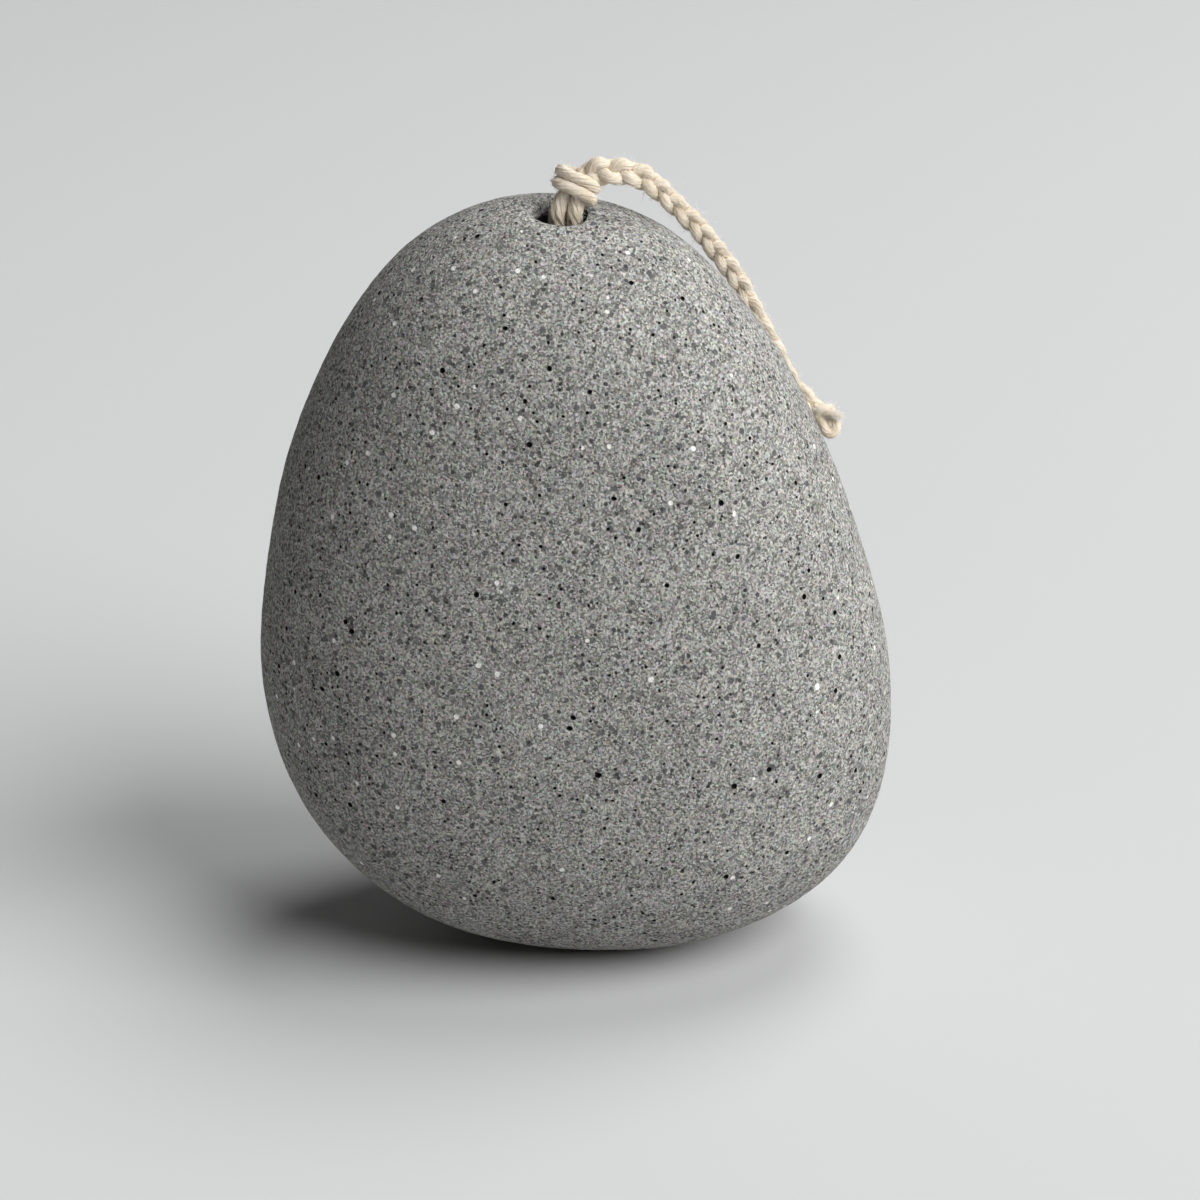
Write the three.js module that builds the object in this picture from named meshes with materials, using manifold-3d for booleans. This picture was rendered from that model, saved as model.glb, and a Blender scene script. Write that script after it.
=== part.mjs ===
// Pumice foot stone with a cotton cord.
// The stone is one egg-shaped pebble of foamed volcanic glass, flatter from front to back than
// from side to side. It stands on a small worn flat at its broad end, and its axis leans a little
// to the left on the way up. A blind hole is drilled down into the crown, and its mouth is worn
// wider towards the back left. The two legs of the cord are glued into the hole. A wrapped knot
// binds them just above the mouth, and from there the cord goes on as a short braid that hangs
// over the right shoulder, lies against the stone and ends in a knot.
// Millimetres. +X is the right side, +Y the back, +Z up. The origin is on the surface that the
// stone stands on, under the middle of its box.

import * as THREE from 'three';
import { mergeVertices } from 'three/addons/utils/BufferGeometryUtils.js';
import Module from 'manifold-3d';

// The stone's profile is a smooth egg. At an angle turned down from the crown, a half size is
// its middle value times the sine of the angle, times 1 + a cos + b cos^2 + c cos^3 of it. A
// negative a makes the base broader than the crown, and a positive b makes both ends blunter.
const HEIGHT = 100;
const HALF_WIDTH = 39.1;
const HALF_DEPTH = 26;
const WIDTH_SHAPE = [-0.26, 0.15, 0.025];
const DEPTH_SHAPE = [-0.2, 0.25, 0];
// The foot is worn flat this far above where the egg would end.
const FOOT_WEAR = 0.8;
// A level section is an oval a little squarer than an ellipse, whose power would be 2.
const SECTION_POWER = 2.2;
// How far the axis stands to the side at the foot, half way up (as a control point) and the crown.
const LEAN = [3.76, -2.44, -3.7];

// The hole, drilled from the crown towards the back, and its worn mouth.
const HOLE_RADIUS = 3;
const HOLE_DEPTH = 32;
const HOLE_MOUTH = new THREE.Vector3(-1.7, -3.7, 99.4);
const HOLE_AXIS = new THREE.Vector3(-0.04, -0.21, 0.98).normalize();
const TOOL_RISE = 6;
const LIP_RADIUS = 0.5;
const WORN_RADIUS = 3.5;
const WORN_LIP_RADIUS = 2;
const WORN_SHIFT = new THREE.Vector3(-0.8, 0.7, 0);

// The cord.
const LEG_RADIUS = 0.95;
const LEG_SPREAD = 1.15;
const LEG_BEND_DEPTH = 12;
const LEFT_LEG_TOP = [[-2.45, -3.4, 98.5], [-2.1, -3.4, 100]];
const RIGHT_LEG_TOP = [[-0.2, -3.4, 98.5], [0.1, -3.4, 100]];
const KNOT_CENTRE = [-0.05, -3.4, 102.5];
const KNOT_HALF_SIZE = [2.85, 2.85, 1.9];
const KNOT_TILT = THREE.MathUtils.degToRad(25);
const BRAID_RADIUS = 1.4;
const BRAID_ROUTE = [
  [3.1, -3.0, 104.0], [4.6, -2.8, 103.9], [6.1, -2.2, 103.6], [8.0, -1.3, 102.8],
  [10.0, 0.0, 101.0], [11.7, 1.5, 99.0], [13.3, 3.0, 97.0], [14.8, 4.4, 95.2],
  [16.4, 6.2, 92.7], [18.1, 8.0, 90.1], [19.7, 9.6, 87.5], [21.0, 10.7, 85.1],
  [22.0, 11.0, 83.0], [23.1, 11.6, 80.8], [24.1, 12.0, 78.8], [25.1, 12.3, 76.9],
  [26.0, 12.6, 74.9], [26.9, 12.7, 73.0], [28.0, 12.5, 71.2], [28.9, 11.8, 70.2],
  [29.6, 11.2, 69.5], [30.3, 10.7, 68.9],
];
const END_KNOT_CENTRE = [32.4, 9.4, 67.6];
const END_KNOT_HALF_SIZE = [2, 2, 2.3];

// Fineness of the faceted surfaces.
const SECTION_POINTS = 64;
const RINGS = 48;
const HOLE_SIDES = 32;
const ARC_STEPS = 6;
const CORD_SIDES = 8;
const LEG_STEPS = 8;
const BRAID_STEPS = 18;
const KNOT_SEGMENTS = [16, 10];

const pumice = new THREE.MeshStandardMaterial({ color: 0x999996, roughness: 0.95, metalness: 0 });
const cotton = new THREE.MeshStandardMaterial({ color: 0xe8dcc8, roughness: 0.9, metalness: 0 });

const wasm = await Module();
wasm.setup();

function toSolid(geometry) {
  const bare = geometry.clone();
  bare.deleteAttribute('normal');
  bare.deleteAttribute('uv');
  const merged = mergeVertices(bare);
  const vertProperties = new Float32Array(merged.attributes.position.array);
  const triVerts = new Uint32Array(merged.index.array);
  return new wasm.Manifold(new wasm.Mesh({ numProp: 3, vertProperties, triVerts }));
}

function toGeometry(solid) {
  const { vertProperties, triVerts } = solid.getMesh();
  const geometry = new THREE.BufferGeometry();
  geometry.setAttribute('position', new THREE.BufferAttribute(vertProperties, 3));
  geometry.setIndex(new THREE.BufferAttribute(triVerts, 1));
  geometry.computeVertexNormals();
  return geometry;
}

// A half size of the egg at an angle turned down from the crown.
function eggHalfSize(middle, [taper, bluntness, skew], angle) {
  const cos = Math.cos(angle);
  return middle * Math.sin(angle) * (1 + taper * cos + bluntness * cos ** 2 + skew * cos ** 3);
}

// The level rings, from just under the crown to the rim of the foot, each as its half width,
// half depth and height.
function profileRings() {
  const halfEgg = (HEIGHT + FOOT_WEAR) / 2;
  const footAngle = Math.acos(FOOT_WEAR / halfEgg - 1);
  const rings = [];
  for (let step = 1; step <= RINGS; step++) {
    const angle = footAngle * (step / RINGS);
    rings.push(new THREE.Vector3(
      eggHalfSize(HALF_WIDTH, WIDTH_SHAPE, angle),
      eggHalfSize(HALF_DEPTH, DEPTH_SHAPE, angle),
      step === RINGS ? 0 : halfEgg * (1 + Math.cos(angle)) - FOOT_WEAR,
    ));
  }
  return rings;
}

// One point of the level oval section whose half sizes and height are those of ring.
function sectionPoint(ring, angle, lean) {
  const across = Math.cos(angle);
  const along = Math.sin(angle);
  const sum = Math.abs(across) ** SECTION_POWER + Math.abs(along) ** SECTION_POWER;
  const reach = sum ** (-1 / SECTION_POWER);
  return [lean + ring.x * across * reach, ring.y * along * reach, ring.z];
}

// The undrilled pebble: a fan at the crown, bands between the rings, and a flat fan at the foot.
function pebbleGeometry() {
  const [leanFoot, leanMiddle, leanCrown] = LEAN;
  const axis = new THREE.QuadraticBezierCurve(
    new THREE.Vector2(leanFoot, 0),
    new THREE.Vector2(leanMiddle, HEIGHT / 2),
    new THREE.Vector2(leanCrown, HEIGHT),
  );
  const rings = profileRings();
  const positions = [leanCrown, 0, HEIGHT];
  for (const ring of rings) {
    const lean = axis.getPoint(ring.z / HEIGHT).x;
    for (let step = 0; step < SECTION_POINTS; step++) {
      positions.push(...sectionPoint(ring, (2 * Math.PI * step) / SECTION_POINTS, lean));
    }
  }
  positions.push(leanFoot, 0, 0);
  const crownIndex = 0;
  const footIndex = 1 + rings.length * SECTION_POINTS;
  const lastRing = footIndex - SECTION_POINTS;
  const triangles = [];
  for (let step = 0; step < SECTION_POINTS; step++) {
    const next = (step + 1) % SECTION_POINTS;
    triangles.push(crownIndex, 1 + step, 1 + next);
    triangles.push(footIndex, lastRing + next, lastRing + step);
    for (let upper = 1; upper < lastRing; upper += SECTION_POINTS) {
      const lower = upper + SECTION_POINTS;
      triangles.push(upper + step, lower + step, lower + next);
      triangles.push(upper + step, lower + next, upper + next);
    }
  }
  const geometry = new THREE.BufferGeometry();
  geometry.setAttribute('position', new THREE.Float32BufferAttribute(positions, 3));
  geometry.setIndex(triangles);
  return geometry;
}

// Turns a shape made along +Y so that it points out of the hole, with its zero at the mouth.
function placeInHole(geometry) {
  const turn = new THREE.Quaternion().setFromUnitVectors(new THREE.Vector3(0, 1, 0), HOLE_AXIS);
  return geometry.applyQuaternion(turn).translate(...HOLE_MOUTH.toArray());
}

// A round cutter of the given radius with a domed bottom, whose top flares out round a lip.
function holeCutter(radius, depth, lipRadius) {
  const bottom = [];
  const lip = [];
  for (let step = 0; step <= ARC_STEPS; step++) {
    const angle = (Math.PI / 2) * (step / ARC_STEPS);
    bottom.push(new THREE.Vector2(radius * Math.sin(angle), -depth + radius * (1 - Math.cos(angle))));
    lip.push(new THREE.Vector2(
      radius + lipRadius * (1 - Math.cos(angle)),
      lipRadius * (Math.sin(angle) - 1),
    ));
  }
  bottom[0].x = 0;
  const top = [
    new THREE.Vector2(radius + lipRadius, TOOL_RISE),
    new THREE.Vector2(0, TOOL_RISE),
  ];
  return placeInHole(new THREE.LatheGeometry([...bottom, ...lip, ...top], HOLE_SIDES));
}

function stoneGeometry() {
  const bore = holeCutter(HOLE_RADIUS, HOLE_DEPTH, LIP_RADIUS);
  const wornDepth = WORN_RADIUS + WORN_LIP_RADIUS / 2;
  const worn = holeCutter(WORN_RADIUS - WORN_LIP_RADIUS / 2, wornDepth, WORN_LIP_RADIUS);
  worn.translate(...WORN_SHIFT.toArray());
  const drilled = toSolid(pebbleGeometry()).subtract(toSolid(bore)).subtract(toSolid(worn));
  return toGeometry(drilled);
}

// A point in the hole, a given way below its mouth and to one side of its axis.
function pointInHole(depth, sideways) {
  const point = HOLE_MOUTH.clone().addScaledVector(HOLE_AXIS, -depth);
  return point.setX(point.x + sideways);
}

function tubeGeometry(route, radius, steps) {
  const section = new THREE.Shape();
  for (let side = 0; side < CORD_SIDES; side++) {
    const angle = (2 * Math.PI * side) / CORD_SIDES;
    const corner = [radius * Math.cos(angle), radius * Math.sin(angle)];
    if (side === 0) section.moveTo(...corner);
    else section.lineTo(...corner);
  }
  section.closePath();
  const extrudePath = new THREE.CatmullRomCurve3(route);
  return new THREE.ExtrudeGeometry(section, { steps, extrudePath });
}

// A leg stands on the bottom of the hole, beside the other, and leans out at the mouth.
function legGeometry(sideways, topPoints) {
  const route = [
    pointInHole(HOLE_DEPTH - HOLE_RADIUS, sideways),
    pointInHole(LEG_BEND_DEPTH, sideways),
    ...topPoints.map((point) => new THREE.Vector3(...point)),
  ];
  return tubeGeometry(route, LEG_RADIUS, LEG_STEPS);
}

function knotGeometry(halfSize) {
  return new THREE.SphereGeometry(1, ...KNOT_SEGMENTS).rotateX(Math.PI / 2).scale(...halfSize);
}

function addPiece(group, name, geometry, material) {
  const piece = new THREE.Mesh(geometry, material.clone());
  piece.name = name;
  group.add(piece);
  return piece;
}

const pumiceStone = new THREE.Group();
addPiece(pumiceStone, 'stone', stoneGeometry(), pumice);
addPiece(pumiceStone, 'cord_leg_left', legGeometry(-LEG_SPREAD, LEFT_LEG_TOP), cotton);
addPiece(pumiceStone, 'cord_leg_right', legGeometry(LEG_SPREAD, RIGHT_LEG_TOP), cotton);

const wrapKnot = addPiece(pumiceStone, 'wrap_knot', knotGeometry(KNOT_HALF_SIZE), cotton);
wrapKnot.position.set(...KNOT_CENTRE);
wrapKnot.rotation.y = KNOT_TILT;

const braidRoute = BRAID_ROUTE.map((point) => new THREE.Vector3(...point));
addPiece(pumiceStone, 'braid', tubeGeometry(braidRoute, BRAID_RADIUS, BRAID_STEPS), cotton);

const endKnot = addPiece(pumiceStone, 'end_knot', knotGeometry(END_KNOT_HALF_SIZE), cotton);
endKnot.position.set(...END_KNOT_CENTRE);

export default pumiceStone;
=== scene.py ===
"""A pumice foot stone on its cotton cord, standing on a pale table.

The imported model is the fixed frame: metres, +X right, +Y back, +Z up. The file follows the object
as it is put together, one section for each piece or group of like pieces.
"""

from math import cos, pi, radians, sin, tau

import bpy
import numpy as np
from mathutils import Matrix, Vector, noise
from mathutils.bvhtree import BVHTree


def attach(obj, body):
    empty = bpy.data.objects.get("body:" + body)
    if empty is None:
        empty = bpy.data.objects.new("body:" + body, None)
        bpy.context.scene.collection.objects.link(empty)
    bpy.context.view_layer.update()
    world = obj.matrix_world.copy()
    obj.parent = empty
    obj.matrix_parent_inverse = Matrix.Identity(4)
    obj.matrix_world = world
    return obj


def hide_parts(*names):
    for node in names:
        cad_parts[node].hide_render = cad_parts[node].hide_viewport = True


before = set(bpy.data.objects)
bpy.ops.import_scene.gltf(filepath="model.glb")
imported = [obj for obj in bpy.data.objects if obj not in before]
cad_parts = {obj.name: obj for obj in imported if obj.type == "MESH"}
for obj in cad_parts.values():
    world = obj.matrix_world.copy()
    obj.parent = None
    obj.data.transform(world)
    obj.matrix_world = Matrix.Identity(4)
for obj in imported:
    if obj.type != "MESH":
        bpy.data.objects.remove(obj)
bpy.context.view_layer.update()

MM = 0.001
bpy.ops.object.select_all(action="DESELECT")
bpy.context.view_layer.objects.active = None

# ---------------------------------------------------------------------------------------------
# Camera. A 100 mm lens looks slightly down on the broad side of the stone.
# ---------------------------------------------------------------------------------------------
camera_aim = Vector((2.86, 0, 46.5)) * MM
camera_elevation = radians(22)
camera_distance = 429.5 * MM
camera_side = Vector((0, -cos(camera_elevation), sin(camera_elevation)))

camera_data = bpy.data.cameras.new("camera")
camera_data.lens = 100
camera_data.sensor_width = 36
camera_data.clip_end = 20
camera = bpy.data.objects.new("camera", camera_data)
camera.location = camera_aim + camera_side * camera_distance
camera.rotation_euler = (pi / 2 - camera_elevation, 0, 0)
bpy.context.collection.objects.link(camera)
bpy.context.scene.camera = camera
bpy.context.scene.view_settings.view_transform = "Standard"

# ---------------------------------------------------------------------------------------------
# The cord's two legs. Soft undyed cotton, seven yarns laid together, 2.1 mm thick. Their ends are
# glued at the bottom of the hole, and they lean out of its mouth to the right, into the knot,
# which pinches them.
# ---------------------------------------------------------------------------------------------


class Wire:
    """A socket's value, so that shader maths is written as Python maths."""

    def __init__(self, finish, socket):
        self.finish = finish
        self.socket = socket

    def maths(self, operation, first, second):
        return self.finish.node("Math", {0: first, 1: second}, operation=operation)

    def __add__(self, other):
        return self.maths("ADD", self, other)

    def __sub__(self, other):
        return self.maths("SUBTRACT", self, other)

    def __rsub__(self, other):
        return self.maths("SUBTRACT", other, self)

    def __mul__(self, other):
        return self.maths("MULTIPLY", self, other)

    def __lt__(self, other):
        return self.maths("LESS_THAN", self, other)

    __radd__ = __add__
    __rmul__ = __mul__


class Finish:
    """A material in the making: its Principled shader, and the nodes that feed it."""

    def __init__(self, name, **constants):
        self.material = bpy.data.materials.new(name)
        self.material.use_nodes = True
        self.nodes = self.material.node_tree.nodes
        self.links = self.material.node_tree.links
        self.shader = self.nodes["Principled BSDF"]
        for socket_name, value in constants.items():
            self.shader.inputs[socket_name.replace("_", " ")].default_value = value

    def feed(self, socket, value):
        if isinstance(value, Wire):
            self.links.new(value.socket, socket)
        else:
            socket.default_value = value

    def node(self, kind, inputs={}, output=0, stops=(), **settings):
        node = self.nodes.new("ShaderNode" + kind)
        for name, value in settings.items():
            setattr(node, name, value)
        if stops:
            ramp = node.color_ramp.elements
            while len(ramp) < len(stops):
                ramp.new(0.5)
            for element, (place, colour) in zip(ramp, stops):
                element.position = place
                element.color = colour
        for name, value in inputs.items():
            self.feed(node.inputs[name], value)
        return Wire(self, node.outputs[output])

    def clamped_ramp(self, value, low, high):
        """0 below low and 1 above high, smooth between them."""
        inputs = {"Value": value, "From Min": low, "From Max": high}
        return self.node("MapRange", inputs, interpolation_type="SMOOTHSTEP")

    def mix(self, amount, first, second, blend_type="MIX"):
        inputs = {0: amount, 6: first, 7: second}
        return self.node("Mix", inputs, 2, data_type="RGBA", blend_type=blend_type)

    def finish(self, colour, roughness, height=None, height_scale=0.0):
        self.feed(self.shader.inputs["Base Color"], colour)
        self.feed(self.shader.inputs["Roughness"], roughness)
        if height is not None:
            inputs = {"Height": height, "Distance": height_scale, "Strength": 1.0}
            self.feed(self.shader.inputs["Normal"], self.node("Bump", inputs))
        return self.material


def cotton_finish():
    """Cream yarn with fine fibres along it. Painted shade darkens the gaps between fibres, and a
    warm ochre painted shade fills the creases between yarns and the places where strands touch.
    """
    cream = (0.80, 0.69, 0.53, 1)
    pale = (0.88, 0.80, 0.68, 1)
    shaded = (0.60, 0.48, 0.34, 1)
    ochre_shade = (0.52, 0.34, 0.18, 1)
    cotton = Finish("cotton_yarn", Specular_IOR_Level=0.15, Sheen_Weight=0.15, Sheen_Roughness=0.5)
    along = cotton.node("UVMap", uv_map="yarn")
    stretched = cotton.node("Mapping", {"Vector": along, "Scale": (1.0, 0.11, 1.0)})
    fine_lines = {"Vector": stretched, "Scale": 5.0, "Detail": 2.0, "Roughness": 0.7}
    fibres = cotton.node("TexNoise", fine_lines)
    place = cotton.node("TexCoord", output="Object")
    patches = cotton.node("TexNoise", {"Vector": place, "Scale": 1 / (2.0 * MM), "Detail": 2.0})
    recess_shade = cotton.node("Attribute", {}, "Fac", attribute_name="recess_shade")
    paleness = cotton.clamped_ramp(patches + (fibres - 0.5) * 0.8, 0.30, 0.70)
    # Painted shade: the gaps between the fibres are darker.
    between_fibres = (1 - cotton.clamped_ramp(fibres, 0.34, 0.60)) * 0.50
    # Painted shade: the creases between yarns, and the places where strands touch, turn a warm ochre.
    crease_shade = cotton.clamped_ramp(recess_shade + (fibres - 0.5) * 0.9, 0.35, 1.1)
    colour = cotton.mix(paleness, cream, pale)
    colour = cotton.mix(between_fibres, colour, shaded)
    colour = cotton.mix(crease_shade, colour, ochre_shade)
    return cotton.finish(colour, 0.85, fibres, 0.30 * MM)


def run_along(line):
    """How far along the line each of its points is."""
    return np.concatenate([[0], np.cumsum(np.linalg.norm(np.diff(line, axis=0), axis=1))])


def route_points(corners, spacing):
    """Points a spacing apart on a smooth curve through the corners."""
    p = np.array([corners[0], *corners, corners[-1]], float)
    p[0] = 2 * p[1] - p[2]
    p[-1] = 2 * p[-2] - p[-3]
    t = np.linspace(0, 1, 24, endpoint=False)[:, None]
    bends = [
        0.5 * (2 * b + (c - a) * t + (2 * a - 5 * b + 4 * c - d) * t**2 + (3 * (b - c) + d - a) * t**3)
        for a, b, c, d in zip(p, p[1:], p[2:], p[3:])
    ]
    line = np.vstack([*bends, p[-2:-1]])
    run = run_along(line)
    even = np.linspace(0, run[-1], max(2, round(run[-1] / spacing)) + 1)
    return np.stack([np.interp(even, run, line[:, k]) for k in range(3)], axis=1)


def unit(vectors):
    return vectors / np.linalg.norm(vectors, axis=-1, keepdims=True)


def tangents(line):
    return unit(np.gradient(line, axis=0))


def steady_sides(line, start):
    """A side direction at each point of a line, turned as little as the line allows."""
    sides = []
    side = np.array(start, float)
    for tangent in tangents(line):
        side = side - tangent * (side @ tangent)
        side /= np.linalg.norm(side)
        sides.append(side)
    return np.array(sides)


def yarn_tube(line, sides, wide, thick, yarns, groove, lay, per_yarn=7, uneven=0.0):
    """A closed tube of yarns round a line: its points, faces, UVs and the painted shade in its creases.

    wide and thick are the half sizes across and along sides, in metres, one or one a ring. groove
    is how deep the creases between yarns are, and uneven how much the yarns swell and thin, as
    shares of the size. lay is how far the yarns have turned round the line at each ring."""
    count = yarns * per_yarn
    rows = len(line)
    across = np.cross(tangents(line), sides)
    angle = np.linspace(0, tau, count, endpoint=False)[None, :]
    turned = angle - np.reshape(lay, (-1, 1)) + np.zeros((rows, 1))
    bulge = np.abs(np.sin(yarns / 2 * turned)) ** 0.75
    reach = 1 - groove + groove * bulge
    if uneven:
        swell_rings = 6
        swells = yarn_draw.normal(size=(rows // swell_rings + 2, yarns))
        places = np.arange(rows) / swell_rings
        wander = np.stack([np.interp(places, range(len(swells)), swell) for swell in swells.T], axis=1)
        yarn = np.floor(turned / tau * yarns).astype(int) % yarns
        reach = reach * (1 + uneven * bulge * np.take_along_axis(wander, yarn, axis=1))
    a = np.reshape(wide, (-1, 1)) * np.cos(angle) * reach
    b = np.reshape(thick, (-1, 1)) * np.sin(angle) * reach
    rings = line[:, None] + a[..., None] * across[:, None] + b[..., None] * sides[:, None]
    points = np.vstack([rings.reshape(-1, 3), line[:1], line[-1:]])
    first = np.arange(rows - 1)[:, None] * count + np.arange(count)[None, :]
    second = np.arange(rows - 1)[:, None] * count + (np.arange(count)[None, :] + 1) % count
    quads = np.stack([first, first + count, second + count, second], axis=-1).reshape(-1, 4)
    start, end = rows * count, rows * count + 1
    last = (rows - 1) * count
    caps = [(start, k, (k + 1) % count) for k in range(count)]
    caps += [(end, last + (k + 1) % count, last + k) for k in range(count)]
    girth = tau * float(np.mean(wide)) / MM
    u = turned / tau * girth
    v = np.reshape(run_along(line) / MM, (-1, 1)) + 0 * u
    uv = np.vstack([np.stack([u, v], axis=-1).reshape(-1, 2), [[0, v[0, 0]], [0, v[-1, 0]]]])
    # How dark the painted shade in the creases between yarns is.
    crease_shade_strength = 0.6
    recess_shade = np.concatenate([(1 - bulge).ravel() * crease_shade_strength, [0.5, 0.5]])
    return points, quads, caps, uv, recess_shade


def shade_near_lines(tubes, lines, radius, own_turn=40):
    """Deepens the painted shade of each tube's points that lie close to another line, or to another
    turn of their own, which is more than own_turn rings away."""
    soft_edge = 0.34 * MM
    for own, (points, _, _, _, recess_shade) in enumerate(tubes):
        rows = len(lines[own])
        ring = np.repeat(np.arange(rows), (len(points) - 2) // rows)
        ring = np.concatenate([ring, [0, rows - 1]])
        nearest = np.ones(len(points))
        for other, line in enumerate(lines):
            gaps = np.linalg.norm(points[:, None] - line[None], axis=2)
            if other == own:
                gaps[np.abs(ring[:, None] - np.arange(rows)[None]) < own_turn] = 1.0
            nearest = np.minimum(nearest, gaps.min(axis=1))
        closeness = np.clip(1 - (nearest - radius) / soft_edge, 0, 1)
        recess_shade[:] = np.maximum(recess_shade, closeness)


def cord_piece(name, tubes, material):
    """One mesh object of all the tubes, with their UVs and painted crease shade."""
    points, faces, uvs, recess_shades, start = [], [], [], [], 0
    for tube_points, quads, caps, uv, recess_shade in tubes:
        faces += (quads + start).tolist()
        faces += [tuple(k + start for k in cap) for cap in caps]
        points.append(tube_points)
        uvs.append(uv)
        recess_shades.append(recess_shade)
        start += len(tube_points)
    mesh = bpy.data.meshes.new(name)
    mesh.from_pydata(np.vstack(points).tolist(), [], faces)
    corner_points = np.empty(len(mesh.loops), int)
    mesh.loops.foreach_get("vertex_index", corner_points)
    layer = mesh.uv_layers.new(name="yarn")
    layer.data.foreach_set("uv", np.vstack(uvs)[corner_points].ravel())
    # The painted crease shade reaches the material as a point attribute.
    shading = mesh.attributes.new("recess_shade", "FLOAT", "POINT")
    shading.data.foreach_set("value", np.concatenate(recess_shades))
    mesh.polygons.foreach_set("use_smooth", [True] * len(mesh.polygons))
    mesh.materials.append(material)
    piece = bpy.data.objects.new(name, mesh)
    bpy.context.collection.objects.link(piece)
    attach(piece, "root")
    return piece


cotton_material = cotton_finish()
yarn_draw = np.random.default_rng(3)
ring_spacing = 0.25 * MM

hole_mouth = np.array([-1.7, -3.7, 99.4]) * MM
hole_axis = unit(np.array([-0.04, -0.21, 0.98]))
leg_radius = 1.03 * MM
leg_spread = 1.12 * MM
leg_lay_length = 9.5 * MM
legs = {
    "left": (
        -leg_spread,
        [(-2.35, -3.9, 98.5), (-2.0, -3.95, 100), (-1.35, -3.7, 101.5), (-0.9, -3.3, 102.6)],
    ),
    "right": (
        leg_spread,
        [(-0.25, -3.9, 98.5), (-0.05, -3.95, 100), (0.2, -3.7, 101.5), (0.35, -3.3, 102.6)],
    ),
}
# How far below the mouth the parts of the legs inside the hole lie.
leg_depths = (29, 20, 12, 6)
pinch_height = 2.4
leg_lines = []
leg_tubes = []
for sideways, top in legs.values():
    deep = [hole_mouth - hole_axis * shade_amount * MM + [sideways, 0, 0] for shade_amount in leg_depths]
    leg_line = route_points([*deep, *(np.array(top) * MM)], ring_spacing)
    # The knot pinches the top of each leg to two thirds of its thickness.
    above_mouth = (leg_line[:, 2] - hole_mouth[2]) / MM
    pinch = 1 - 0.32 * np.clip(above_mouth / pinch_height, 0, 1) ** 1.2
    leg_lines.append(leg_line)
    leg_tubes.append(yarn_tube(
        leg_line, steady_sides(leg_line, (0, -1, 0)), leg_radius * pinch, leg_radius * pinch,
        7, 0.14, tau * run_along(leg_line) / leg_lay_length, per_yarn=7, uneven=0.06,
    ))
shade_near_lines(leg_tubes, leg_lines, leg_radius)
for side_name, leg_tube in zip(legs, leg_tubes):
    leg = cord_piece(f"twisted_leg_{side_name}", [leg_tube], cotton_material)
    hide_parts(f"cord_leg_{side_name}")

# ---------------------------------------------------------------------------------------------
# The wrapped knot. The cord's own end is wound round both legs in two turns that run down to the
# right, pulled tight, with both ends tucked inside.
# ---------------------------------------------------------------------------------------------
knot_centre = np.array([-0.05, -3.4, 102.3]) * MM
knot_tilt = radians(18)
knot_back = unit(np.array([0, 0.93, -0.36]))
knot_across = np.array([
    cos(knot_tilt), sin(knot_tilt) * knot_back[2], -sin(knot_tilt) * knot_back[1],
])
knot_axis = np.cross(knot_across, knot_back)
wrap_reach = (2.35 * MM, 1.20 * MM)
wrap_pitch = 1.45 * MM
wrap_radius = 0.74 * MM
wrap_lay_length = 1.9 * MM

# Both ends lie at the back, where they turn in between the legs.
wrap_angle = np.linspace(-1.45 * pi, 2.45 * pi, 130)
middle_angle = wrap_angle.mean()
tuck = np.clip((np.abs(wrap_angle - middle_angle) / (1.95 * pi) - 0.86) / 0.14, 0, 1)
wrap_line = (
    knot_centre
    + np.outer(wrap_reach[0] * np.cos(wrap_angle), knot_across)
    + np.outer(wrap_reach[1] * (1 - 0.8 * tuck) * np.sin(wrap_angle), knot_back)
    - np.outer(wrap_pitch * (wrap_angle - middle_angle) / tau, knot_axis)
)
from_centre = wrap_line - knot_centre
wrap_sides = unit(from_centre - np.outer(from_centre @ knot_axis, knot_axis))
wrap_along = tangents(wrap_line)
wrap_sides = unit(wrap_sides - wrap_along * np.sum(wrap_sides * wrap_along, axis=1)[:, None])
wrap_tube = yarn_tube(
    wrap_line, wrap_sides, wrap_radius, wrap_radius * 0.95, 8, 0.13,
    run_along(wrap_line) / wrap_lay_length, per_yarn=7, uneven=0.05,
)
shade_near_lines([wrap_tube], [wrap_line, *leg_lines], 0.62 * MM)
wrap_knot = cord_piece("knot_wraps", [wrap_tube], cotton_material)
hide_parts("wrap_knot")

# ---------------------------------------------------------------------------------------------
# The plait. Three soft strands cross over each other in turn. It is 3.9 mm wide at the knot and
# 2.8 mm further on, and about 2 mm thick. It rises out of the knot, arches over the right
# shoulder and lies against the stone.
# ---------------------------------------------------------------------------------------------
plait_route = np.array([
    (0.6, -2.7, 102.9), (1.8, -2.9, 103.7),
    (3.1, -3.0, 104.0), (4.6, -2.8, 103.9), (6.1, -2.2, 103.6), (8.0, -1.3, 102.8),
    (10.0, 0.0, 101.0), (11.7, 1.5, 99.0), (13.3, 3.0, 97.0), (14.8, 4.4, 95.2),
    (16.4, 6.2, 92.7), (18.1, 8.0, 90.1), (19.7, 9.6, 87.5), (21.0, 10.7, 85.1),
    (22.0, 11.0, 83.0), (23.1, 11.6, 80.8), (24.1, 12.0, 78.8), (25.1, 12.3, 76.9),
    (26.0, 12.6, 74.9), (26.9, 12.7, 73.0), (28.0, 12.5, 71.2), (28.9, 11.8, 70.2),
    (29.6, 11.2, 69.5), (30.3, 10.7, 68.9), (31.0, 10.2, 68.3),
]) * MM
plait_line = route_points(plait_route, ring_spacing)
plait_run = run_along(plait_line)
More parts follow.
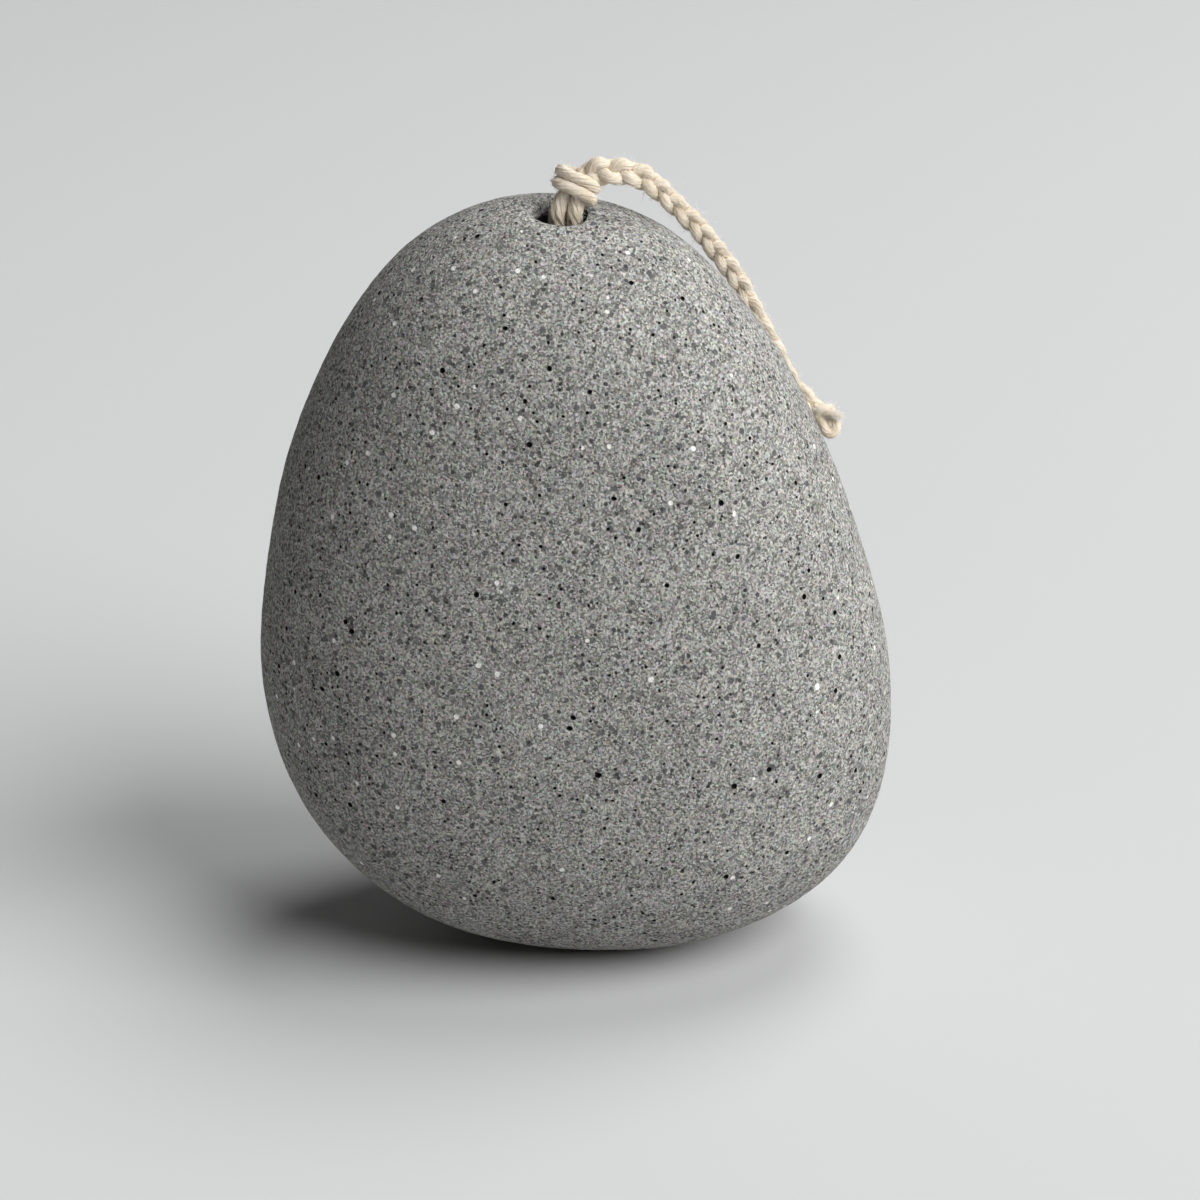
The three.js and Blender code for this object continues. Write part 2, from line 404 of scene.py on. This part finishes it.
# It is loose and broad at the knot, and drawn longer and slimmer further on.
drawn = np.clip(plait_run / (15 * MM), 0, 1)
plait_repeat = (7.6 + 3.2 * drawn) * MM
plait_reach = (1.10 - 0.38 * drawn) * MM
plait_depth = (0.60 - 0.16 * drawn) * MM
strand_wide = (0.84 - 0.18 * drawn) * MM
strand_thick = (0.62 - 0.12 * drawn) * MM
# Its last few millimetres are frayed and thicker again.
loosened = np.clip((plait_run - plait_run[-1]) / (1.5 * MM) + 3.0, 0, 1)
plait_reach += 0.16 * MM * loosened
strand_wide *= 1 + 0.25 * loosened
strand_thick *= 1 + 0.25 * loosened
plait_turn = tau * np.concatenate([[0], np.cumsum(np.diff(plait_run) / plait_repeat[1:])])
# The knot holds the strands close together where they leave it.
gather = 0.5 + 0.5 * np.clip(plait_run / (2.5 * MM), 0, 1)

plait_along = tangents(plait_line)
plait_face = np.array(camera_side)
plait_face = unit(plait_face - plait_along * (plait_along @ plait_face)[:, None])
plait_side = np.cross(plait_along, plait_face)
plait_hold = 0.22
plait_lean = -0.12
strand_lay_length = 1.7 * MM
strand_lines = []
strand_tubes = []
for strand in range(3):
    turn = plait_turn + tau * strand / 3
    # A strand keeps to the edge for a while, and crosses the face nearer to one edge.
    sideways = np.sin(turn) + plait_hold * np.sin(3 * turn) + plait_lean * np.cos(2 * turn)
    strand_line = (
        plait_line
        + plait_side * (plait_reach * gather * sideways)[:, None]
        + plait_face * (plait_depth * gather * np.sin(2 * turn))[:, None]
    )
    direction = tangents(strand_line)
    strand_side = unit(plait_face - direction * np.sum(plait_face * direction, axis=1)[:, None])
    strand_lines.append(strand_line)
    strand_tubes.append(yarn_tube(
        strand_line, strand_side, strand_wide, strand_thick, 9, 0.12,
        run_along(strand_line) / strand_lay_length, per_yarn=6, uneven=0.06,
    ))
shade_near_lines(strand_tubes, [*strand_lines, wrap_line], 0.56 * MM)
plait = cord_piece("plait", strand_tubes, cotton_material)
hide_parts("braid")

# ---------------------------------------------------------------------------------------------
# The end knot. The last strand is looped over itself and pulled through, which leaves a small eye
# and a frayed tip that points to the right.
# ---------------------------------------------------------------------------------------------
end_centre = np.array([32.4, 9.4, 67.6]) * MM
# Each part is a route about the knot's centre, a radius and how far its last bit thins out: the
# eye, the turn round its neck, a strand that fills the eye from behind, and the free tip.
end_parts = [
    ([(-1.63, 1.16, 1.54), (-1.47, 0.30, 1.01), (-1.17, -0.27, 0.39), (-0.82, -0.66, -0.29),
      (-0.47, -0.92, -0.95), (0.05, -1.01, -1.29), (0.58, -0.78, -1.14), (0.84, -0.47, -0.63),
      (0.79, -0.04, -0.10), (0.49, 0.44, 0.28), (0.06, 0.87, 0.55)], 0.66, 1.0),
    ([(-0.31, 1.01, 0.09), (-1.18, 0.48, 0.13), (-1.67, -0.18, 0.90), (-1.35, -0.58, 1.51),
      (-0.58, -0.50, 1.83), (0.04, 0.05, 1.73), (0.23, 0.80, 1.18), (-0.18, 1.22, 0.63)], 0.58, 1.0),
    ([(-0.32, 0.60, 0.39), (0.06, 0.05, -0.25), (0.30, -0.25, -0.80)], 0.66, 1.0),
    ([(-1.40, 0.30, 0.74), (-0.69, -0.50, 1.38), (0.08, -0.70, 1.40), (0.80, -0.68, 1.05),
      (1.40, -0.60, 0.65)], 0.44, 0.4),
]
end_spacing = 0.2 * MM
end_lay_length = 1.5 * MM
tip_rings = 8
end_lines = [route_points(end_centre + np.array(route) * MM, end_spacing) for route, _, _ in end_parts]
end_radii = [radius * MM for _, radius, _ in end_parts]
end_tubes = []
for end_line, end_radius, (_, _, tip) in zip(end_lines, end_radii, end_parts):
    taper = np.ones(len(end_line))
    taper[-tip_rings:] = np.linspace(1, tip, tip_rings)
    end_tubes.append(yarn_tube(
        end_line, steady_sides(end_line, (0, -1, 0.2)), end_radius * taper, end_radius * taper,
        7, 0.10, run_along(end_line) / end_lay_length, per_yarn=7, uneven=0.06,
    ))
shade_near_lines(end_tubes, end_lines, 0.30 * MM)
end_knot = cord_piece("end_knot_loop", end_tubes, cotton_material)
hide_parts("end_knot")

# ---------------------------------------------------------------------------------------------
# Fuzz. Single fibres of the same cotton stand off the whole cord or lie along it, each a fiftieth
# of a millimetre thick, and the end knot has thicker frays. Each hair is a closed tube that
# starts just inside its strand.
# ---------------------------------------------------------------------------------------------
fuzz_draw = np.random.default_rng(11)
fibre_radius = 0.011 * MM


def fuzz_finish():
    """Single cotton fibres. Their colour is paler than the yarn's, painted light that stands in for
    the light that goes through them.
    """
    cream_hair = (0.90, 0.82, 0.69, 1)
    white_hair = (0.96, 0.93, 0.87, 1)
    fuzz = Finish("cotton_fuzz", Specular_IOR_Level=0.15, Sheen_Weight=0.6, Sheen_Roughness=0.4)
    place = fuzz.node("TexCoord", output="Object")
    patches = fuzz.node("TexNoise", {"Vector": place, "Scale": 1 / (0.8 * MM), "Detail": 1.0})
    colour = fuzz.mix(fuzz.clamped_ramp(patches, 0.35, 0.65), cream_hair, white_hair)
    return fuzz.finish(colour, 0.8)


def fibre_tube(line, radius):
    """A closed three-sided hair along a few points."""
    sides = steady_sides(line, (0.3, 0.2, 1) if abs(tangents(line)[0, 2]) < 0.9 else (1, 0, 0))
    points, quads, caps, uv, recess_shade = yarn_tube(line, sides, radius, radius, 1, 0.0, 0.0, per_yarn=3)
    return points, quads, caps, uv, recess_shade * 0


def fibres_round(centres, out_from, count, length, spread, stand=(0.25, 1.0)):
    """Hairs that start on a strand's surface and curl away from it.

    length is about how long they are, spread is how much they curl, and stand is how steeply they
    rise, from the least to the most."""
    hairs = []
    for _ in range(count):
        k = fuzz_draw.integers(2, len(centres) - 2)
        along = centres[k + 1] - centres[k - 1]
        along /= np.linalg.norm(along)
        outward = fuzz_draw.normal(size=3)
        outward -= along * (outward @ along)
        outward /= np.linalg.norm(outward)
        start = centres[k] + outward * out_from * 0.8
        heading = outward * fuzz_draw.uniform(*stand) + along * fuzz_draw.normal() * 1.1
        heading /= np.linalg.norm(heading)
        curl = fuzz_draw.normal(size=3) * spread
        reach = length * fuzz_draw.uniform(0.4, 1.3)
        t = np.linspace(0, 1, 4)[:, None]
        hairs.append(start + heading * reach * t + (curl - outward * 0.4) * reach * t**2 * 0.8)
    return hairs


fuzz_material = fuzz_finish()
flat = (0.05, 0.3)
seen_leg_rings = 22
tip_fray_rings = 10

# Every strand has short hairs that curl away, and longer ones that lie almost flat on it.
hairs = []
for strand_line in strand_lines:
    hairs += fibres_round(strand_line, 0.66 * MM, 1300, 0.70 * MM, 0.5)
    hairs += fibres_round(strand_line, 0.74 * MM, 900, 1.3 * MM, 0.25, flat)
plait_fibres = [fibre_tube(hair, fibre_radius) for hair in hairs]
plait_fuzz = cord_piece("plait_fuzz", plait_fibres, fuzz_material)

hairs = fibres_round(wrap_line, wrap_radius, 600, 0.55 * MM, 0.5)
hairs += fibres_round(wrap_line, wrap_radius * 1.15, 450, 1.1 * MM, 0.25, flat)
for leg_line in leg_lines:
    seen_leg = leg_line[-seen_leg_rings:]
    hairs += fibres_round(seen_leg, leg_radius, 260, 0.65 * MM, 0.5)
    hairs += fibres_round(seen_leg, leg_radius * 1.1, 200, 1.2 * MM, 0.2, flat)
for end_line, end_radius in zip(end_lines, end_radii):
    hairs += fibres_round(end_line, end_radius, 220, 0.6 * MM, 0.5)
    hairs += fibres_round(end_line, end_radius * 1.1, 150, 1.0 * MM, 0.3, flat)
frayed_tip = end_lines[-1][-tip_fray_rings:]
hairs += fibres_round(frayed_tip, 0.2 * MM, 220, 0.9 * MM, 0.4)
frays = fibres_round(frayed_tip, 0.25 * MM, 50, 0.9 * MM, 0.3, (0.2, 0.7))
frays += fibres_round(end_lines[1], end_radii[1], 60, 0.8 * MM, 0.4, (0.1, 0.5))
frays += fibres_round(end_lines[0], end_radii[0], 60, 0.8 * MM, 0.4, (0.1, 0.4))
knot_fibres = [fibre_tube(hair, fibre_radius) for hair in hairs]
knot_fibres += [fibre_tube(fray, 2 * fibre_radius) for fray in frays]
knot_fuzz = cord_piece("knot_fuzz", knot_fibres, fuzz_material)

# ---------------------------------------------------------------------------------------------
# The stone. One pebble of foamed volcanic glass, sawn, tumbled smooth and drilled: a fine
# salt-and-pepper grain, full of small round pores that the tumbling has cut open.
# ---------------------------------------------------------------------------------------------
mesh_size = 0.7 * MM
pore_draw = np.random.default_rng(5)


def pumice_finish():
    """Grey grains in a paler groundmass, with white and dark grains, and painted shade inside the
    open pores and down the hole.
    """
    greys = [
        (0.0, (0.040, 0.040, 0.038, 1)),
        (0.25, (0.130, 0.129, 0.121, 1)),
        (0.5, (0.268, 0.265, 0.249, 1)),
        (0.75, (0.445, 0.440, 0.413, 1)),
        (1.0, (0.665, 0.657, 0.620, 1)),
    ]
    dark_grey = (0.085, 0.085, 0.088, 1)
    near_black = (0.050, 0.050, 0.050, 1)
    pale_grey = (0.62, 0.61, 0.585, 1)
    glassy_white = (0.85, 0.84, 0.81, 1)
    black = (0.015, 0.015, 0.015, 1)
    pore_shade_black = (0.012, 0.012, 0.012, 1)
    pumice = Finish("pumice", Specular_IOR_Level=0.15)
    place = pumice.node("TexCoord", output="Object")
    warp = pumice.node("TexNoise", {"Vector": place, "Scale": 1 / (0.5 * MM), "Detail": 1.0}, "Color")
    warped = pumice.node("VectorMath", {0: warp, 1: (0.16 * MM,) * 3}, operation="MULTIPLY")
    spot = pumice.node("VectorMath", {0: place, 1: warped}, operation="ADD")

    def cells(size, output="Distance", seed=0.0):
        shifted = pumice.node("VectorMath", {0: spot, 1: (seed, seed, seed)}, operation="ADD")
        inputs = {"Vector": shifted, "Scale": 1 / size, "Randomness": 1.0}
        return pumice.node("TexVoronoi", inputs, output)

    def lone_grains(size, share, radius, seed, soft=0.1):
        """Round spots in a share of the cells, as 1 inside and 0 outside."""
        pick = pumice.node("SeparateColor", {"Color": cells(size, "Color", seed)})
        inside = 1 - pumice.clamped_ramp(cells(size, "Distance", seed), radius - soft, radius)
        return inside * (pick < share)

    fine_grain = {"Vector": place, "Scale": 1 / (0.36 * MM), "Detail": 1.0, "Roughness": 0.9}
    fine = pumice.node("TexNoise", fine_grain)
    patchy = pumice.node("TexNoise", {"Vector": place, "Scale": 1 / (1.5 * MM), "Detail": 1.0})
    broad = pumice.node("TexNoise", {"Vector": place, "Scale": 1 / (9 * MM), "Detail": 2.0})
    tone = pumice.node("SeparateColor", {"Color": cells(0.25 * MM, "Color", 0.01)}, 1)
    grey = (tone - 0.5) * 0.66 + (fine - 0.5) * 0.44 + 0.545
    grey = grey + (patchy - 0.5) * 0.22 + (broad - 0.5) * 0.15
    colour = pumice.node("ValToRGB", {"Fac": grey}, stops=greys)
    colour = pumice.mix(0.14, colour, cells(0.36 * MM, "Color"), "MULTIPLY")
    soft_dark = lone_grains(2.0 * MM, 0.60, 0.21, 0.030, 0.03)
    small_dark = lone_grains(1.4 * MM, 0.65, 0.21, 0.050, 0.04)
    specks = lone_grains(1.4 * MM, 0.50, 0.17, 0.040, 0.03)
    white = lone_grains(2.6 * MM, 0.24, 0.15, 0.020, 0.04)
    flecks = lone_grains(1.4 * MM, 0.30, 0.16, 0.060, 0.04)
    colour = pumice.mix(soft_dark * 0.85, colour, dark_grey)
    colour = pumice.mix(small_dark * 0.90, colour, near_black)
    colour = pumice.mix(flecks * 0.75, colour, pale_grey)
    colour = pumice.mix(white * 0.95, colour, glassy_white)
    colour = pumice.mix(specks * 0.90, colour, black)
    shade_amount = pumice.node("Attribute", {}, "Fac", attribute_name="pore_and_hole_shade")
    # Painted shade: the pores and the hole go almost black inside.
    colour = pumice.mix(pumice.clamped_ramp(shade_amount, 0.05, 0.6), colour, pore_shade_black)
    height = fine * 1.2 + tone * 0.3 - specks * 0.6 - small_dark * 0.2
    return pumice.finish(colour, 0.95, height, 0.14 * MM)


def only_select(piece):
    bpy.ops.object.select_all(action="DESELECT")
    piece.select_set(True)
    bpy.context.view_layer.objects.active = piece


def apply_modifier(piece, name, kind, **settings):
    only_select(piece)
    modifier = piece.modifiers.new(name, kind)
    for key, value in settings.items():
        setattr(modifier, key, value)
    bpy.ops.object.modifier_apply(modifier=name)


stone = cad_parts["stone"].copy()
stone.data = stone.data.copy()
stone.name = "pumice_pebble"
stone.parent = None
bpy.context.collection.objects.link(stone)
only_select(stone)
bpy.ops.object.mode_set(mode="EDIT")
bpy.ops.mesh.select_all(action="SELECT")
bpy.ops.mesh.remove_doubles(threshold=0.01 * MM)
bpy.ops.object.mode_set(mode="OBJECT")
apply_modifier(stone, "grain", "REMESH", mode="VOXEL", voxel_size=mesh_size, use_smooth_shade=True)
apply_modifier(stone, "wear", "SMOOTH", factor=0.5, iterations=6)

# Low swells and a fine tooth, so that neither the outline nor the light is perfectly even. They
# fade out at the worn flat that the stone stands on.
foot_height = 1.2 * MM
pebble_points = np.empty(len(stone.data.vertices) * 3)
pebble_normals = np.empty(len(stone.data.vertices) * 3)
stone.data.vertices.foreach_get("co", pebble_points)
stone.data.vertex_normals.foreach_get("vector", pebble_normals)
pebble_points = pebble_points.reshape(-1, 3)
swells = [
    noise.noise(p / (16 * MM)) * 0.28 * MM + noise.noise(p / (1.5 * MM)) * 0.05 * MM
    for p in map(Vector, pebble_points)
]
above_foot = np.clip((pebble_points[:, 2] - 0.1 * MM) / foot_height, 0, 1)
pebble_points += pebble_normals.reshape(-1, 3) * (np.array(swells) * above_foot)[:, None]
stone.data.vertices.foreach_set("co", pebble_points.ravel())
stone.data.update()

# Pores: how many, the smallest and largest radius in millimetres, and how finely a ball is cut.
pore_sizes = [(190, 0.28, 0.42, 2), (1050, 0.19, 0.28, 1)]
pore_gap = 0.25 * MM
clear_of_mouth = 6.5 * MM
clear_of_foot = 1.5 * MM
search_cell = 2 * MM
stone.data.calc_loop_triangles()
triangles = stone.data.loop_triangles
triangle_areas = np.array([triangle.area for triangle in triangles])
pores = []
taken = {}
for count, smallest, largest, subdivisions in pore_sizes:
    picks = pore_draw.choice(len(triangle_areas), size=count, p=triangle_areas / triangle_areas.sum())
    for pick in picks:
        triangle = triangles[int(pick)]
        weights = pore_draw.dirichlet((1, 1, 1))
        spot = sum((stone.data.vertices[v].co * w for v, w in zip(triangle.vertices, weights)), Vector())
        radius = pore_draw.uniform(smallest, largest) * MM
        cell = tuple(int(c // search_cell) for c in spot)
        near = [
            other
            for dx in (-1, 0, 1) for dy in (-1, 0, 1) for dz in (-1, 0, 1)
            for other in taken.get((cell[0] + dx, cell[1] + dy, cell[2] + dz), [])
        ]
        crowded = any((spot - place).length < radius + size + pore_gap for place, size in near)
        at_hole = (spot - Vector(hole_mouth)).length < clear_of_mouth
        if not (crowded or at_hole or spot.z < clear_of_foot):
            taken.setdefault(cell, []).append((spot, radius))
            pores.append((spot - triangle.normal * radius * 0.15, radius, subdivisions))

balls = {}
for subdivisions in (1, 2):
    bpy.ops.mesh.primitive_ico_sphere_add(subdivisions=subdivisions, radius=1)
    ball = bpy.context.object
    balls[subdivisions] = (
        np.array([vertex.co for vertex in ball.data.vertices]),
        np.array([face.vertices for face in ball.data.polygons]),
    )
    bpy.data.objects.remove(ball)
cutter_points, cutter_faces, start = [], [], 0
for centre, radius, subdivisions in pores:
    ball_points, ball_faces = balls[subdivisions]
    stretch = pore_draw.uniform(0.85, 1.15, 3)
    turn = np.array(Vector(pore_draw.normal(size=3)).to_track_quat("Z", "Y").to_matrix())
    cutter_points.append((ball_points * stretch * radius) @ turn.T + np.array(centre))
    cutter_faces.append(ball_faces + start)
    start += len(ball_points)
cutter_mesh = bpy.data.meshes.new("pore_cutter")
cutter_mesh.from_pydata(np.vstack(cutter_points).tolist(), [], np.vstack(cutter_faces).tolist())
cutter = bpy.data.objects.new("pore_cutter", cutter_mesh)
bpy.context.collection.objects.link(cutter)
smooth_skin = BVHTree.FromObject(stone, bpy.context.evaluated_depsgraph_get())
apply_modifier(stone, "pores", "BOOLEAN", operation="DIFFERENCE", object=cutter, solver="MANIFOLD")
bpy.data.objects.remove(cutter)

# Painted shade: the pores are darkened inside, the more the deeper below the skin, and so is the
# hole below its mouth. The test on the hole's axis has no lower end, so a disc where the axis
# leaves the stone near its foot is darkened too.
pore_shade_depth = 0.14 * MM
hole_shade = 0.6
hole_shade_start = 0.1 * MM
hole_shade_depth = 2.4 * MM
hole_reach = 3.4 * MM
shade_amounts = []
for vertex in stone.data.vertices:
    shade_amount = smooth_skin.find_nearest(vertex.co)[3] / pore_shade_depth
    from_mouth = np.array(vertex.co) - hole_mouth
    down = -from_mouth @ hole_axis
    if down > 0 and np.linalg.norm(from_mouth + down * hole_axis) < hole_reach:
        shade_amount = max(shade_amount, min(hole_shade, (down - hole_shade_start) / hole_shade_depth))
    shade_amounts.append(shade_amount)
pore_and_hole_shade = stone.data.attributes.new("pore_and_hole_shade", "FLOAT", "POINT")
pore_and_hole_shade.data.foreach_set("value", shade_amounts)

only_select(stone)
bpy.ops.object.shade_smooth_by_angle(angle=radians(38))
stone.data.materials.clear()
stone.data.materials.append(pumice_finish())
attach(stone, "root")
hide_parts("stone")

# ---------------------------------------------------------------------------------------------
# Stage. A pale table that curves up behind, and soft light from the right and in front.
# ---------------------------------------------------------------------------------------------
bpy.ops.object.select_all(action="DESELECT")
bpy.ops.mesh.primitive_plane_add(size=4.0, location=(0, 0, 0))
table = bpy.context.object
table.name = "table_sweep"
bpy.ops.object.mode_set(mode="EDIT")
bpy.ops.mesh.select_all(action="DESELECT")
bpy.ops.object.mode_set(mode="OBJECT")
for edge in table.data.edges:
    edge.select = all(table.data.vertices[v].co.y > 1 for v in edge.vertices)
bpy.ops.object.mode_set(mode="EDIT")
bpy.ops.mesh.select_mode(type="EDGE")
bpy.ops.mesh.extrude_region_move(TRANSFORM_OT_translate={"value": (0, 0.8, 2.4)})
bpy.ops.object.mode_set(mode="OBJECT")
apply_modifier(table, "sweep", "BEVEL", width=1.2, segments=24, limit_method="ANGLE")
bpy.ops.object.shade_smooth()
paper_grey = (0.563, 0.567, 0.569, 1)
paper = Finish("table_paper", Specular_IOR_Level=0.1)
table.data.materials.append(paper.finish(paper_grey, 0.9))


def softbox(name, place, size, power):
    """A round soft lamp that faces the stone."""
    light = bpy.data.lights.new(name, "AREA")
    light.shape = "DISK"
    light.size = size
    light.energy = power
    lamp = bpy.data.objects.new(name, light)
    lamp.location = place
    lamp.rotation_euler = (lamp_aim - lamp.location).to_track_quat("-Z", "Y").to_euler()
    bpy.context.collection.objects.link(lamp)


lamp_aim = Vector((0, 0, 0.04))
softbox("key", (1.88, -1.27, 1.97), 2.4, 108)
softbox("overhead", (0.66, 0.62, 2.25), 1.3, 27)
softbox("side", (2.07, 0.0, 0.75), 0.9, 9.3)
world = bpy.data.worlds.new("studio")
world.use_nodes = True
world.node_tree.nodes["Background"].inputs["Color"].default_value = (1, 1, 1, 1)
world.node_tree.nodes["Background"].inputs["Strength"].default_value = 0.035
bpy.context.scene.world = world
